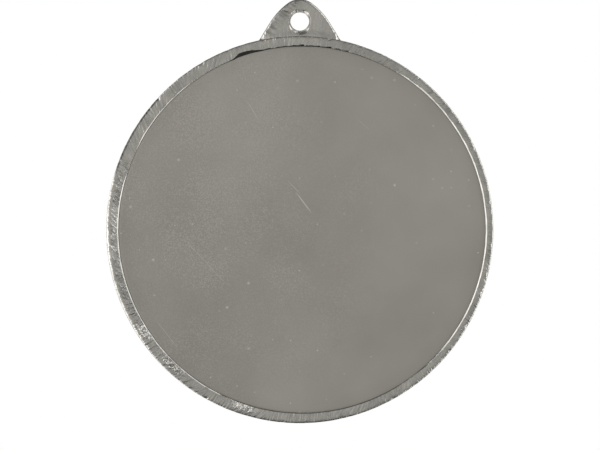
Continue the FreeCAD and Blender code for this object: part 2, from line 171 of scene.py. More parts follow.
class Pen:
    """Draws a chain of edges, one straight run or arc after another."""

    def __init__(self, mesh, start):
        self.mesh = mesh
        self.tip = bmesh.ops.create_vert(mesh, co=start)["vert"][0]

    def run(self, end, pieces=1):
        step = (Vector(end) - self.tip.co) / pieces
        for _ in range(pieces):
            self.tip = bmesh.ops.extrude_vert_indiv(self.mesh, verts=[self.tip])["verts"][0]
            bmesh.ops.translate(self.mesh, verts=[self.tip], vec=step)

    def arc(self, centre, axis, angle, pieces):
        made = bmesh.ops.spin(
            self.mesh, geom=[self.tip], cent=centre, axis=axis, angle=angle, steps=pieces,
            use_merge=False, use_duplicate=False,
        )
        self.tip = verts_in(made["geom_last"])[0]


def verts_in(items):
    return [item for item in items if isinstance(item, bmesh.types.BMVert)]


def edges_in(items):
    return [item for item in items if isinstance(item, bmesh.types.BMEdge)]


def close_below(mesh, rim, axis, level):
    """Draws a skirt from an open rim to one level along an axis, closes it, and returns its vertices."""
    skirt = bmesh.ops.extrude_edge_only(mesh, edges=rim)["geom"]
    low = verts_in(skirt)
    for vert in low:
        vert.co[axis] = level
    bmesh.ops.holes_fill(mesh, edges=edges_in(skirt), sides=0)
    return low


def section_point(radius, depth):
    """A point of a section that is spun about the disc's axis."""
    return Vector((radius, depth, DISC_CENTRE.z))


def spin_section(mesh, steps=SPIN_STEPS):
    """Spins every edge drawn so far an eighth of a turn, doubles that up to a full turn, and closes it."""
    bmesh.ops.spin(
        mesh, geom=mesh.verts[:] + mesh.edges[:], cent=DISC_CENTRE, axis=AXIS,
        angle=math.tau / 8, steps=steps // 8, use_merge=False, use_duplicate=False,
    )
    for doubling in (8, 4, 2):
        copied = bmesh.ops.duplicate(mesh, geom=mesh.verts[:] + mesh.edges[:] + mesh.faces[:])["geom"]
        turn = Matrix.Rotation(math.tau / doubling, 3, AXIS)
        bmesh.ops.rotate(mesh, verts=verts_in(copied), cent=DISC_CENTRE, matrix=turn)
    bmesh.ops.remove_doubles(mesh, verts=mesh.verts, dist=CLOSE)
    bmesh.ops.recalc_face_normals(mesh, faces=mesh.faces)


def polar(point):
    """Radius and angle about the disc's centre, in degrees anticlockwise from +X as the reverse is faced."""
    across = point.x
    up = point.z - DISC_CENTRE.z
    return math.hypot(across, up), (math.degrees(math.atan2(up, across)) + 90) % 360 - 90


def hump(angle, middle, width):
    """A smooth bump of height 1 at the angle middle, in degrees, fading over about width."""
    away = (angle - middle + 180) % 360 - 180
    return math.exp(-((away / width) ** 2))


def band(angle, start, end, fade=2.0):
    """1 for angles from start to end, in degrees, fading out over fade at both ends."""
    away = abs((angle - (start + end) / 2 + 180) % 360 - 180)
    half = (end - start) / 2
    return 1 - ramp(away, half - fade / 2, half + fade / 2)


def ramp(value, low, high):
    """0 below low, 1 above high, and smooth between."""
    share = min(max((value - low) / (high - low), 0), 1)
    return share * share * (3 - 2 * share)


def new_object(name, data):
    item = bpy.data.objects.new(name, data)
    bpy.context.scene.collection.objects.link(item)
    return item


def finish_piece(mesh, name, node, materials, smooth_angle=35):
    """Turns a mesh into a finished object in metres that stands for a CAD node and rides with it."""
    bmesh.ops.scale(mesh, verts=mesh.verts, vec=(MM, MM, MM))
    for edge in mesh.edges:
        if len(edge.link_faces) == 2:
            edge.smooth = edge.calc_face_angle() < math.radians(smooth_angle)
    for face in mesh.faces:
        face.smooth = True
    data = bpy.data.meshes.new(name)
    mesh.to_mesh(data)
    mesh.free()
    piece = new_object(name, data)
    for material in materials:
        data.materials.append(material)
    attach(piece, WORK_BODY)
    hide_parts(node)
    return piece


# ---- node helpers for materials ----

# Sockets of the Mix node when it mixes colours; its named ones repeat for each kind of data.
MIX_COLOUR_INPUTS = (6, 7)
MIX_COLOUR_OUTPUT = 2


def new_material(name, metallic=1.0):
    """A material with one Principled shader; returns it, its tree, and the shader."""
    material = bpy.data.materials.new(name)
    material.use_nodes = True
    shader = material.node_tree.nodes["Principled BSDF"]
    shader.inputs["Metallic"].default_value = metallic
    return material, material.node_tree, shader


def join(tree, source, target):
    tree.links.new(source, target)


def place_coordinates(tree, scale=(1, 1, 1), location=(0, 0, 0), rotation=(0, 0, 0)):
    """Object coordinates, in metres, through a Mapping node."""
    source = tree.nodes.new("ShaderNodeTexCoord")
    mapping = tree.nodes.new("ShaderNodeMapping")
    mapping.inputs["Scale"].default_value = scale
    mapping.inputs["Location"].default_value = location
    mapping.inputs["Rotation"].default_value = rotation
    join(tree, source.outputs["Object"], mapping.inputs["Vector"])
    return mapping.outputs["Vector"]


def noise_pattern(tree, vector, scale, detail=3.0, rough=0.55):
    """Noise from 0 to 1, with about scale lumps to a metre."""
    pattern = tree.nodes.new("ShaderNodeTexNoise")
    pattern.inputs["Scale"].default_value = scale
    pattern.inputs["Detail"].default_value = detail
    pattern.inputs["Roughness"].default_value = rough
    join(tree, vector, pattern.inputs["Vector"])
    return pattern.outputs["Fac"]


def stretch(tree, value, from_low, from_high, to_low, to_high):
    """Maps a value from one range to another, clamped."""
    node = tree.nodes.new("ShaderNodeMapRange")
    join(tree, value, node.inputs["Value"])
    for name, number in (("From Min", from_low), ("From Max", from_high),
                         ("To Min", to_low), ("To Max", to_high)):
        node.inputs[name].default_value = number
    return node.outputs["Result"]


def calculate(tree, operation, first, second=0.0):
    """A Math node; each input is a socket or a number."""
    node = tree.nodes.new("ShaderNodeMath")
    node.operation = operation
    for socket, value in zip(node.inputs, (first, second)):
        if isinstance(value, (int, float)):
            socket.default_value = value
        else:
            join(tree, value, socket)
    return node.outputs["Value"]


def multiply(tree, first, *others):
    """The product of a socket with other sockets and numbers."""
    for other in others:
        first = calculate(tree, "MULTIPLY", first, other)
    return first


def tint(tree, share, low_colour, high_colour):
    """A colour between two by share; each of the two is a colour or a socket."""
    node = tree.nodes.new("ShaderNodeMix")
    node.data_type = "RGBA"
    join(tree, share, node.inputs["Factor"])
    for index, colour in zip(MIX_COLOUR_INPUTS, (low_colour, high_colour)):
        if isinstance(colour, tuple):
            node.inputs[index].default_value = (*colour, 1)
        else:
            join(tree, colour, node.inputs[index])
    return node.outputs[MIX_COLOUR_OUTPUT]


def attribute_value(tree, name):
    """A piece's own painted value."""
    node = tree.nodes.new("ShaderNodeAttribute")
    node.attribute_name = name
    return node.outputs["Fac"]


def bump(tree, height, depth, below=None):
    """A bump of that depth in millimetres on top of an earlier normal."""
    node = tree.nodes.new("ShaderNodeBump")
    node.inputs["Strength"].default_value = 1.0
    node.inputs["Distance"].default_value = depth * MM
    join(tree, height, node.inputs["Height"])
    if below is not None:
        join(tree, below, node.inputs["Normal"])
    return node.outputs["Normal"]


def round_the_rim(tree, turn, along_scale, across_scale):
    """Coordinates that follow the rim, turned by an angle so that marks drawn out along them lie askew."""
    centre_shift = (0, 0, -DISC_CENTRE.z * MM)
    split = tree.nodes.new("ShaderNodeSeparateXYZ")
    join(tree, place_coordinates(tree, location=centre_shift), split.inputs["Vector"])
    across, depth, up = split.outputs
    around = multiply(tree, calculate(tree, "ARCTAN2", across, up), DISC_RADIUS * MM)
    squares = calculate(tree, "ADD", multiply(tree, across, across), multiply(tree, up, up))
    outward = calculate(tree, "SQRT", squares)
    together = tree.nodes.new("ShaderNodeCombineXYZ")
    for socket, value in zip(together.inputs, (around, outward, depth)):
        join(tree, value, socket)
    mapping = tree.nodes.new("ShaderNodeMapping")
    mapping.inputs["Rotation"].default_value = (0, 0, turn)
    join(tree, together.outputs["Vector"], mapping.inputs["Vector"])
    drawn = tree.nodes.new("ShaderNodeMapping")
    drawn.inputs["Scale"].default_value = (along_scale, across_scale, across_scale)
    join(tree, mapping.outputs["Vector"], drawn.inputs["Vector"])
    return drawn.outputs["Vector"]


def grey_ramp(tree, value, steps):
    """Warm greys at the given places of a value from 0 to 1, which are in rising order."""
    node = tree.nodes.new("ShaderNodeValToRGB")
    join(tree, value, node.inputs["Fac"])
    marks = node.color_ramp.elements
    marks.remove(marks[1])
    marks[0].position = steps[0][0]
    for position, _ in steps[1:]:
        marks.new(position)
    for mark, (_, grey) in zip(marks, steps):
        mark.color = (grey, 0.99 * grey, 0.965 * grey, 1)
    return node.outputs["Color"]


def spread_from(tree, across, up, near, far, inside, outside):
    """One number within near of a place across and up from the disc's centre, another beyond far."""
    place = (-across * MM, 0, -(DISC_CENTRE.z + up) * MM)
    node = tree.nodes.new("ShaderNodeVectorMath")
    node.operation = "LENGTH"
    join(tree, place_coordinates(tree, (1, 0, 1), place), node.inputs[0])
    return stretch(tree, node.outputs["Value"], near * MM, far * MM, inside, outside)


def scratch(tree, across, up, angle, length, half_width):
    """1 along a straight scratch, 0 elsewhere. Its middle is across and up from the disc's centre."""
    source = tree.nodes.new("ShaderNodeTexCoord")
    mapping = tree.nodes.new("ShaderNodeMapping")
    mapping.vector_type = "TEXTURE"
    mapping.inputs["Location"].default_value = (across * MM, 0, (DISC_CENTRE.z + up) * MM)
    mapping.inputs["Rotation"].default_value = (0, -math.radians(angle), 0)
    join(tree, source.outputs["Object"], mapping.inputs["Vector"])
    split = tree.nodes.new("ShaderNodeSeparateXYZ")
    join(tree, mapping.outputs["Vector"], split.inputs["Vector"])
    along = calculate(tree, "ABSOLUTE", split.outputs["X"])
    aside = calculate(tree, "ABSOLUTE", split.outputs["Z"])
    within = stretch(tree, along, 0.2 * length * MM, 0.5 * length * MM, 1, 0)
    return multiply(tree, stretch(tree, aside, 0, half_width * MM, 1, 0), within)


def sparse_pits(tree, scale, size, keep):
    """1 in small round pits, at most one to a cell; keep is the share of cells that have one."""
    cells = tree.nodes.new("ShaderNodeTexVoronoi")
    cells.voronoi_dimensions = "2D"
    cells.inputs["Scale"].default_value = scale
    join(tree, place_coordinates(tree, (1, 0, 1), rotation=(math.pi / 2, 0, 0)), cells.inputs["Vector"])
    split = tree.nodes.new("ShaderNodeSeparateColor")
    join(tree, cells.outputs["Color"], split.inputs["Color"])
    chosen = calculate(tree, "GREATER_THAN", split.outputs["Red"], 1 - keep)
    pit = stretch(tree, cells.outputs["Distance"], 0, size, 1, 0)
    return multiply(tree, pit, chosen, split.outputs["Green"])


# ---- finishes ----

NICKEL = (0.70, 0.685, 0.635)
NICKEL_DULL = (0.55, 0.54, 0.50)
# Near-white nickel that paints glints on the chips.
NICKEL_PAINTED_GLINT = (0.96, 0.94, 0.9)
GROUND_DARK = (0.45, 0.44, 0.41)
GROUND_LIGHT = (0.56, 0.55, 0.515)
RELIEF_WORN = (0.68, 0.665, 0.62)
RELIEF_BRIGHT = (0.74, 0.725, 0.68)
# Near-black that paints shade on the recess wall, the rim's upper-left edge, the lug's left edge and the
# bore's mouth.
PAINTED_SHADE_DARK = (0.10, 0.098, 0.09)
PLATE_DARK = (0.515, 0.492, 0.45)
PLATE_LIGHT = (0.69, 0.662, 0.61)
PLATE_SCRATCHED = (0.96, 0.93, 0.88)
EMBLEM_DARK = (0.44, 0.43, 0.40)
EMBLEM_LIGHT = (0.52, 0.51, 0.48)
POLISH_DARK = (0.80, 0.79, 0.75)
POLISH_LIGHT = (0.88, 0.87, 0.84)
# Near-blacks that paint the shadow in the sprung gap.
GAP_SHADOW_DARK = (0.008, 0.008, 0.007)
GAP_SHADOW_LIGHT = (0.03, 0.028, 0.025)
FILM_DARK = (0.74, 0.73, 0.67)
FILM_LIGHT = (0.86, 0.85, 0.80)


def cast_nickel():
    """Nickel plating over the rim and lug as filed: cast grain, skewed file marks and chips, with painted
    glints on the chips and painted shade on the rim's edge, the lug's left edge and the bore's mouth.
    """
    material, tree, shader = new_material("cast_nickel_rim")
    plain = place_coordinates(tree)
    grain = noise_pattern(tree, plain, 3200, 2, 0.6)
    patches = noise_pattern(tree, plain, 420, 3)
    steep_marks = noise_pattern(tree, round_the_rim(tree, math.radians(-82), 350, 2600), 1, 2)
    skew_marks = noise_pattern(tree, round_the_rim(tree, math.radians(-50), 400, 2200), 1, 2)
    where = stretch(tree, noise_pattern(tree, plain, 180, 1), 0.42, 0.58, 0, 1)
    elsewhere = calculate(tree, "SUBTRACT", 1.0, where)
    marks = calculate(tree, "ADD", multiply(tree, steep_marks, where), multiply(tree, skew_marks, elsewhere))
    filed = multiply(tree, calculate(tree, "SUBTRACT", marks, 0.5), attribute_value(tree, "filed"))
    chipped_with_glints = attribute_value(tree, "chipped_with_glints")
    crumbs = stretch(tree, noise_pattern(tree, plain, 1700, 2), 0.38, 0.62, 0, 1)
    height = calculate(tree, "ADD", filed, multiply(tree, crumbs, chipped_with_glints, chipped_with_glints, 0.42))
    at_lug = spread_from(tree, 0, 38.5, 4.5, 9, 0.4, 0)
    at_right = spread_from(tree, 36, 8, 6, 32, 0.4, 0)
    lighter = calculate(tree, "MAXIMUM", at_lug, at_right)
    share = calculate(tree, "ADD", stretch(tree, patches, 0.35, 0.65, 0, 1), lighter)
    clean = tint(tree, share, NICKEL_DULL, NICKEL)
    # Painted glints: where chipped, the colour is mixed toward near-white nickel, which stands for
    # highlights, and the surface is rougher.
    glints = multiply(tree, chipped_with_glints, stretch(tree, skew_marks, 0.42, 0.55, 0, 1))
    nickel_with_painted_glints = tint(tree, glints, clean, NICKEL_PAINTED_GLINT)
    # Painted shade: the painted-shade value darkens these places toward near-black.
    join(tree, tint(tree, attribute_value(tree, "painted_shade"), nickel_with_painted_glints, PAINTED_SHADE_DARK), shader.inputs["Base Color"])
    smooth = stretch(tree, patches, 0.3, 0.7, 0.3, 0.2)
    join(tree, calculate(tree, "ADD", smooth, multiply(tree, glints, 0.4)), shader.inputs["Roughness"])
    relief = bump(tree, height, 0.45)
    join(tree, bump(tree, grain, 0.03, relief), shader.inputs["Normal"])
    return material


def stippled_ground():
    """The sand-blasted ground behind the wreath."""
    material, tree, shader = new_material("stippled_ground")
    plain = place_coordinates(tree)
    stipple = noise_pattern(tree, plain, 5200, 2, 0.6)
    clouds = noise_pattern(tree, plain, 150, 3)
    colour = tint(tree, stretch(tree, clouds, 0.3, 0.7, 0, 1), GROUND_DARK, GROUND_LIGHT)
    join(tree, colour, shader.inputs["Base Color"])
    join(tree, stretch(tree, stipple, 0.3, 0.7, 0.5, 0.38), shader.inputs["Roughness"])
    join(tree, bump(tree, stipple, 0.06), shader.inputs["Normal"])
    return material


def bright_relief():
    """Bright plating, faintly rippled from the die, for the wreath, the bezel and the recess wall, which
    painted shade darkens.
    """
    material, tree, shader = new_material("bright_plated_relief")
    plain = place_coordinates(tree)
    ripple = noise_pattern(tree, plain, 900, 2)
    wear = noise_pattern(tree, plain, 260, 4)
    clean = tint(tree, stretch(tree, wear, 0.35, 0.65, 0, 1), RELIEF_WORN, RELIEF_BRIGHT)
    # Painted shade darkens the recess wall below its crest.
    join(tree, tint(tree, attribute_value(tree, "painted_shade"), clean, PAINTED_SHADE_DARK), shader.inputs["Base Color"])
    join(tree, stretch(tree, wear, 0.3, 0.7, 0.24, 0.14), shader.inputs["Roughness"])
    join(tree, bump(tree, ripple, 0.01), shader.inputs["Normal"])
    return material


def painted_gap_shadow():
    """Painted shadow in the gap where the plate has sprung up: a matt near-black with a lumpy bump."""
    material, tree, shader = new_material("painted_shadow_in_gap", metallic=0.0)
    lumps = noise_pattern(tree, place_coordinates(tree), 2500, 3)
    join(tree, tint(tree, lumps, GAP_SHADOW_DARK, GAP_SHADOW_LIGHT), shader.inputs["Base Color"])
    shader.inputs["Roughness"].default_value = 0.8
    shader.inputs["Specular IOR Level"].default_value = 0.1
    join(tree, bump(tree, lumps, 0.05), shader.inputs["Normal"])
    return material


def satin_plate():
    """The engraving plate: satin metal with clouds, peppered patches, a few pits and fine scratches, painted
    shade round its edge, and painted lighter and darker places that stand for its reflection.
    """
    material, tree, shader = new_material("satin_engraving_plate")
    plain = place_coordinates(tree)
    share = stretch(tree, noise_pattern(tree, plain, 60, 3), 0.3, 0.7, 0.12, 0.5)
    # Painted shade: the plate darkens toward its edge, next to the recess wall.
    edge = spread_from(tree, RECESS_SHIFT, 0, 30.5, 32.6, 0, -0.16)
    share = calculate(tree, "ADD", share, edge)
    # Painted reflection: lighter and darker places across the field.
    for across, up, reach, change in PLATE_PAINTED_REFLECTION:
        share = calculate(tree, "ADD", share, spread_from(tree, across, up, 0, reach, change, 0))
    pepper = stretch(tree, noise_pattern(tree, plain, 4200, 3, 0.6), 0.46, 0.68, 0, 1)
    patches = stretch(tree, noise_pattern(tree, plain, 90, 2), 0.4, 0.62, 0.4, 1)
    at_left = spread_from(tree, -24, 2, 4, 45, 1.3, 0.15)
    at_upper_left = spread_from(tree, -17, 18, 1, 11, 1.6, 0.15)
    handled = calculate(tree, "MAXIMUM", at_left, at_upper_left)
    peppered = multiply(tree, pepper, patches, handled)
    # The plate's colour: random tone and peppered patches, with the painted shade at the edge and the painted
    # reflection places.
    worn = tint(tree, calculate(tree, "ADD", share, peppered), PLATE_DARK, PLATE_LIGHT)
    marks = calculate(tree, "MAXIMUM", sparse_pits(tree, 230, 0.08, 0.14), sparse_pits(tree, 620, 0.12, 0.06))
    for place_and_size in PLATE_SCRATCHES:
        marks = calculate(tree, "MAXIMUM", marks, scratch(tree, *place_and_size))
    join(tree, tint(tree, marks, worn, PLATE_SCRATCHED), shader.inputs["Base Color"])
    join(tree, stretch(tree, pepper, 0, 1, 0.16, 0.22), shader.inputs["Roughness"])
    grained = bump(tree, pepper, 0.0015)
    join(tree, bump(tree, marks, -0.012, grained), shader.inputs["Normal"])
    return material


def emblem_metal():
    """The emblem's stamped ground: matt satin with a fine turned grain."""
    material, tree, shader = new_material("stamped_emblem_ground")
    plain = place_coordinates(tree)
    grain = noise_pattern(tree, round_the_rim(tree, 0, 300, 9000), 1, 2)
    wear = noise_pattern(tree, plain, 400, 3)
    colour = tint(tree, stretch(tree, wear, 0.35, 0.65, 0, 1), EMBLEM_DARK, EMBLEM_LIGHT)
    join(tree, colour, shader.inputs["Base Color"])
    join(tree, stretch(tree, grain, 0.3, 0.7, 0.42, 0.3), shader.inputs["Roughness"])
    join(tree, bump(tree, grain, 0.004), shader.inputs["Normal"])
    return material


def polished_emblem():
    """The emblem's polished star and border, with faint hairlines."""
    material, tree, shader = new_material("polished_emblem")
    hairlines = noise_pattern(tree, place_coordinates(tree, (4000, 4000, 250)), 1, 2)
    smears = noise_pattern(tree, place_coordinates(tree), 500, 3)
    colour = tint(tree, stretch(tree, smears, 0.35, 0.65, 0, 1), POLISH_DARK, POLISH_LIGHT)
    join(tree, colour, shader.inputs["Base Color"])
    join(tree, stretch(tree, smears, 0.3, 0.7, 0.16, 0.1), shader.inputs["Roughness"])
    join(tree, bump(tree, hairlines, 0.0015), shader.inputs["Normal"])
    return material


def adhesive_film():
    """Milky transfer adhesive with faint cloudiness, hidden under the plate and the emblem."""
    material, tree, shader = new_material("adhesive_film", metallic=0.0)
    clouds = noise_pattern(tree, place_coordinates(tree), 300, 3)
    join(tree, tint(tree, clouds, FILM_DARK, FILM_LIGHT), shader.inputs["Base Color"])
    join(tree, stretch(tree, clouds, 0.3, 0.7, 0.45, 0.65), shader.inputs["Roughness"])
    return material


# ---- the casting ----

def draw_blank_section(mesh):
    """The casting's section from the axis on the reverse, round the rim, to the axis on the front."""
    crest = HALF_THICKNESS
    wall = DISC_RADIUS - RIM_ROUND
    pen = Pen(mesh, section_point(0, RECESS_FLOOR))
    pen.run(section_point(RECESS_RADIUS, RECESS_FLOOR), 4)
    pen.run(section_point(RECESS_RADIUS, PLATE_FACE), 1)
    pen.run(section_point(RECESS_RADIUS + WALL_FOOT, -crest + WALL_SLOPE * WALL_WIDTH), 1)
    pen.run(section_point(RECESS_RADIUS + WALL_WIDTH, -crest), 3)
    pen.run(section_point(wall, -crest), 7)
    pen.arc(section_point(wall, RIM_ROUND - crest), (0, 0, 1), math.pi / 2, 3)
    pen.run(section_point(DISC_RADIUS, crest - RIM_ROUND), 11)
    pen.arc(section_point(wall, crest - RIM_ROUND), (0, 0, 1), math.pi / 2, 3)
    pen.run(section_point(FRONT_MOUTH_RADIUS, crest), 8)
    pen.run(section_point(FRONT_FIELD_RADIUS, FRONT_FIELD), 2)
    pen.run(section_point(BEZEL_OUTER_RADIUS, FRONT_FIELD), 4)
    pen.run(section_point(BEZEL_CREST_OUTER_RADIUS, BEZEL_CREST), 2)
    pen.run(section_point(BEZEL_CREST_INNER_RADIUS, BEZEL_CREST), 2)
    pen.run(section_point(EMBLEM_SEAT_RADIUS, EMBLEM_SEAT), 2)
    pen.run(section_point(0, EMBLEM_SEAT), 2)


def wall_width(angle):
    """How wide the recess wall's slope is: it is uneven, and upright or nearly so in places."""
    wider = 0.04 * hump(angle, 0, 22) + 0.03 * hump(angle, 44, 12)
    right = (0.19 + wider) * band(angle, -50, 57, 7)
    ragged = 0.14 + 0.32 * noise.noise(Vector((0.45 * angle, 8.1, 0)))
    top = max(ragged, 0) * band(angle, 75, 103, 3)
    start, end = SPRUNG_GAP
    sprung = 0.62 * ramp(angle, start - 0.7, end - 3.9) * (1 - ramp(angle, end - 3.2, end + 0.2))
    upper_left = 0.15 * band(angle, 129, 152, 8)
    left = 0.19 * band(angle, 164, 246, 7)
    bottom = 0.08 * band(angle, 246, 302, 4)
    uneven = 1 + 0.4 * noise.noise(Vector((0.25 * angle, 3.7, 0)))
    return max(max(right, upper_left, left, bottom) * uneven, top, sprung, 0.01)


def set_recess(mesh):
    """Shifts the reverse recess out of register with the disc, and gives its wall its uneven slope."""
    outer = DISC_RADIUS - RIM_ROUND
    mouth = RECESS_RADIUS + WALL_WIDTH
    for vert in mesh.verts:
        radius, angle = polar(vert.co)
        if vert.co.y > 0 or radius > outer + CLOSE:
            continue
        inward = min(max((outer - radius) / (outer - mouth), 0), 1)
        outward = Vector((vert.co.x, 0, vert.co.z - DISC_CENTRE.z)).normalized()
        if radius > RECESS_RADIUS + WALL_FOOT / 2:
            share = min((radius - RECESS_RADIUS) / WALL_WIDTH, 1)
            wider = wall_width(angle) - WALL_WIDTH
            vert.co += outward * wider * share * inward
            below_crest = vert.co.y + HALF_THICKNESS
            vert.co.y += max(below_crest * wider / WALL_WIDTH, -below_crest) if share < 1 else 0
        vert.co.x += RECESS_SHIFT * inward


def file_mark(around, outward, turn):
    """Height of marks drawn out along a direction skewed by turn, at a place on the rim."""
    along = around * math.cos(turn) + outward * math.sin(turn)
    across = outward * math.cos(turn) - around * math.sin(turn)
    return noise.noise(Vector((along * 0.3, across * 1.9, 11.3)))


def on_lug(radius):
    return radius > DISC_RADIUS + 0.1


def by_recess(radius):
    """Whether a place can be on the recess wall, which is off centre and uneven."""
    return radius < RECESS_RADIUS + RECESS_SHIFT + 2 * WALL_WIDTH


def off_the_side(point):
    """1 near the two faces, 0 on the side of the rim between them."""
    return ramp(abs(point.y), HALF_THICKNESS - 0.45, HALF_THICKNESS - 0.15)


def inner_half(radius):
    """1 on the half of the rim's face next to the recess, 0 on the outer half."""
    return 1 - ramp(radius, DISC_RADIUS - 1.0, DISC_RADIUS - 0.6)


def chipped_share(angle):
    """1 at the three chipped places of the lower left rim."""
    return max(hump(angle, middle, reach) for middle, reach in CHIPS)


def lug_painted_shade(point):
    """How much painted shade darkens the lug's left edge and the sides of the bore's mouth, on the reverse.
    """
    face = LUG_THICKNESS / 2
    on_round = ramp(point.y, -face, 0.08 - face) * (1 - ramp(point.y, 0.3 - face, 0.6 - face))
    beyond = math.hypot(point.x, point.z) - BORE_RADIUS
    angle = math.degrees(math.atan2(point.z, point.x))
    beside_bore = max(band(angle, -40, 30, 8), band(angle, 145, 200, 10))
    mouth = 0.5 * beside_bore * ramp(beyond, 0.16, 0.22) * (1 - ramp(beyond, 0.34, 0.4))
    return max(0.3 * on_round * ramp(-point.x, 1.5, 3), mouth if point.y < 0 else 0)


def wall_painted_shade(point, angle):
    """How much painted shade darkens the recess wall, below its crest."""
    below_crest = ramp(point.y, 0.03 - HALF_THICKNESS, 0.07 - HALF_THICKNESS) if point.y < 0 else 0
    patchy = 0.22 * noise.noise(Vector((0.4 * angle, 1.7, 0)))
    at_left = 0.12 * band(angle, 162, 203, 8) + 0.2 * band(angle, 175, 250, 20)
    return below_crest * (0.3 + 0.2 * hump(angle, 6, 24) + at_left + patchy)


def rim_painted_shade(point, angle, radius):
    """How much painted shade darkens the reverse's outer edge: a thin line at the upper left, and faintly at
    the right.
    """
    near_reverse = 1 - ramp(point.y, 0.1 - HALF_THICKNESS, 0.4 - HALF_THICKNESS)
    # Painted shade: a dark line along the upper-left outer edge.
    line = 0.95 * band(angle, *PAINTED_SHADE_EDGE, 4) * ramp(radius, DISC_RADIUS - 0.42, DISC_RADIUS - 0.22)
    dull = 0.03 * band(angle, -50, 45, 25) * ramp(radius, DISC_RADIUS - 0.75, DISC_RADIUS - 0.5)
    return max(line, dull) * near_reverse


# Painted shade at a place: on the lug, on the recess wall, or on the rim's outer edge.
def painted_shade_at(point, angle, radius):
    if on_lug(radius):
        return lug_painted_shade(point)
    return wall_painted_shade(point, angle) if by_recess(radius) else rim_painted_shade(point, angle, radius)


def filed_share(point, angle, radius):
    """How strongly the file and the die's grain have marked the surface at a place."""
    if on_lug(radius):
        return 0.2
    inner = inner_half(radius)
    left = band(angle, *FILED_LEFT, 14) * inner
    outer_right = 0.5 * band(angle, -60, 60, 30) * (1 - inner)
    chipped = chipped_share(angle) * inner if point.y < 0 else 0
    on_face = max(0.34, left, outer_right, chipped)
    return 0.1 + (on_face - 0.1) * off_the_side(point)


def rim_height(point, radius, angle):
    """How far filing, casting and handling move the rim's surface out at a place, in mm."""
    around = math.radians(angle) * DISC_RADIUS
    inner = inner_half(radius)
    left = band(angle, *FILED_LEFT, 12)
    skew = math.radians(-50 if angle > 90 else -80)
    marks = (0.014 + 0.06 * left * inner) * file_mark(around, radius, skew)
    dents = 0.025 * noise.noise(point * 0.8) + 0.01 * noise.noise(point * 2.7)
    chips = 0.3 * chipped_share(angle) * inner * noise.noise(point * 2.6) if point.y < 0 else 0
    edge = ramp(radius, DISC_RADIUS - 0.5, DISC_RADIUS - 0.05)
    nick = max(noise.noise(Vector((around * 0.9, 0, 5.1))) - 0.2, 0)
    seam_trim = 0.03 + 0.02 * noise.noise(Vector((around * 0.5, 0, 9.4)))
    seam = seam_trim * math.exp(-((point.y / 0.16) ** 2)) if radius > DISC_RADIUS - RIM_ROUND else 0
    return (marks + dents + chips - 0.3 * edge * nick) * (0.15 + 0.85 * off_the_side(point)) + seam


def roughen_rim(mesh):
    """Works the rim over as casting and filing leave it, and wears its outer edge down, most at the left."""
    mesh.normal_update()
    moves = []
    for vert in mesh.verts:
        radius, angle = polar(vert.co)
        on_crest = abs(vert.co.y + HALF_THICKNESS) < CLOSE
        on_wall = by_recess(radius) and vert.co.y < 0 and not on_crest
        if radius < FRONT_MOUTH_RADIUS or on_wall:
            continue
        worn = (0.05 + 0.13 * band(angle, 172, 218, 25)) * ramp(radius, DISC_RADIUS - 0.8, DISC_RADIUS) ** 2
        wear = AXIS * worn if vert.co.y < RIM_ROUND - HALF_THICKNESS + 0.01 else Vector()
        moves.append((vert, vert.normal * rim_height(vert.co, radius, angle) + wear))
    for vert, move in moves:
        vert.co += move


def paint_wear_shade_and_glints(mesh):
    """Paints how much painted shade each place gets, how filed it is, and how chipped it is, which also sets
    its painted glints, for the material to read.
    """
    painted_shade = mesh.verts.layers.float.new("painted_shade")
    filed = mesh.verts.layers.float.new("filed")
    chipped_with_glints = mesh.verts.layers.float.new("chipped_with_glints")
    for vert in mesh.verts:
        radius, angle = polar(vert.co)
        # Chipped and filed places; the material gives them real crumbs and also painted glints.
        chipped_glint_share = max(chipped_share(angle), 0.35 * band(angle, *FILED_LEFT, 14)) * inner_half(radius)
        vert[painted_shade] = painted_shade_at(vert.co, angle, radius)
        vert[filed] = filed_share(vert.co, angle, radius)
        vert[chipped_with_glints] = chipped_glint_share * (1 - off_the_side(vert.co) if vert.co.y > 0 else 1)


def make_blank(materials):
    """The cast blank and its lug; the materials are for the rim, the front ground, the relief and the painted
    shadow in the gap.
    """
    rim, ground, relief, gap = range(4)
    mesh = bmesh.new()
    draw_blank_section(mesh)
    spin_section(mesh)
    set_recess(mesh)
    mesh.normal_update()
    for face in mesh.faces:
        centre = face.calc_center_median()
        radius, angle = polar(centre)
        on_ground = abs(centre.y - FRONT_FIELD) < 0.01 and BEZEL_OUTER_RADIUS < radius < FRONT_FIELD_RADIUS
        on_bezel = centre.y > 0 and radius < BEZEL_OUTER_RADIUS
        on_wall = centre.y < 0 and radius < RECESS_RADIUS + 3 * WALL_WIDTH and face.normal.y > -0.95
        # Wall faces in the sprung gap get the painted shadow.
        in_gap = on_wall and SPRUNG_GAP[0] < angle < SPRUNG_GAP[1]
        other = relief if on_bezel or on_wall else rim
        face.material_index = gap if in_gap else ground if on_ground else other
    roughen_rim(mesh)
    add_lug(mesh)
    paint_wear_shade_and_glints(mesh)
    return finish_piece(mesh, "cast_blank", "medal_casting", materials)


